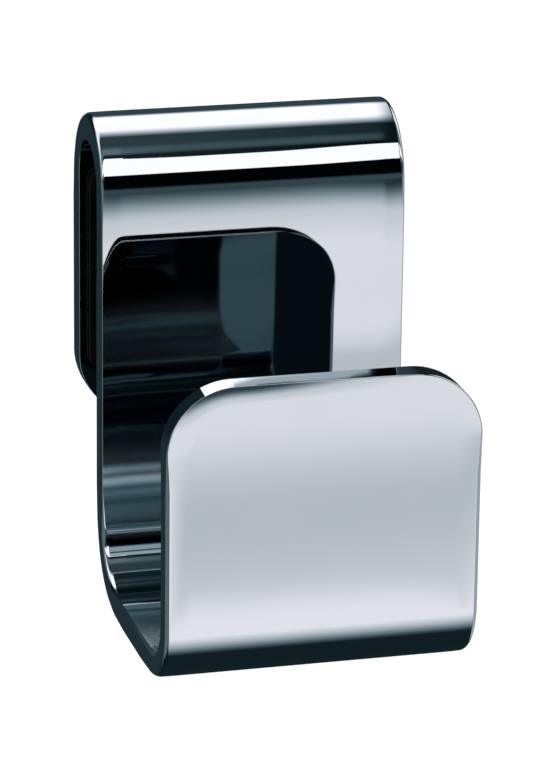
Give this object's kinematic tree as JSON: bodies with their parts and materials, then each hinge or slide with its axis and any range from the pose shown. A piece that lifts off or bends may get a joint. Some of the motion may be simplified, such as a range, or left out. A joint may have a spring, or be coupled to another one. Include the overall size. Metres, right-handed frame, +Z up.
{
  "type": "towel hook",
  "caption": "Chromed flat strip bent into a clip that hangs over a thin panel, with a leg, a floor and a round-cornered lip that hold a towel.",
  "frame": {"origin": "middle of the panel's top edge, where that edge bears against the inside of the clip's bend", "axes": "+Z up, -Y from the panel towards the towel side, +X along the panel's edge across the strip"},
  "size_m": [0.045, 0.0589, 0.0708],
  "materials": {
    "polished_chrome": "mirror-polished chrome plating",
    "black_rubber": "matt black rubber"
  },
  "bodies": {
    "root": {"hook_strip": "polished_chrome", "back_pad": "black_rubber", "front_pad": "black_rubber"}
  },
  "joints": []
}
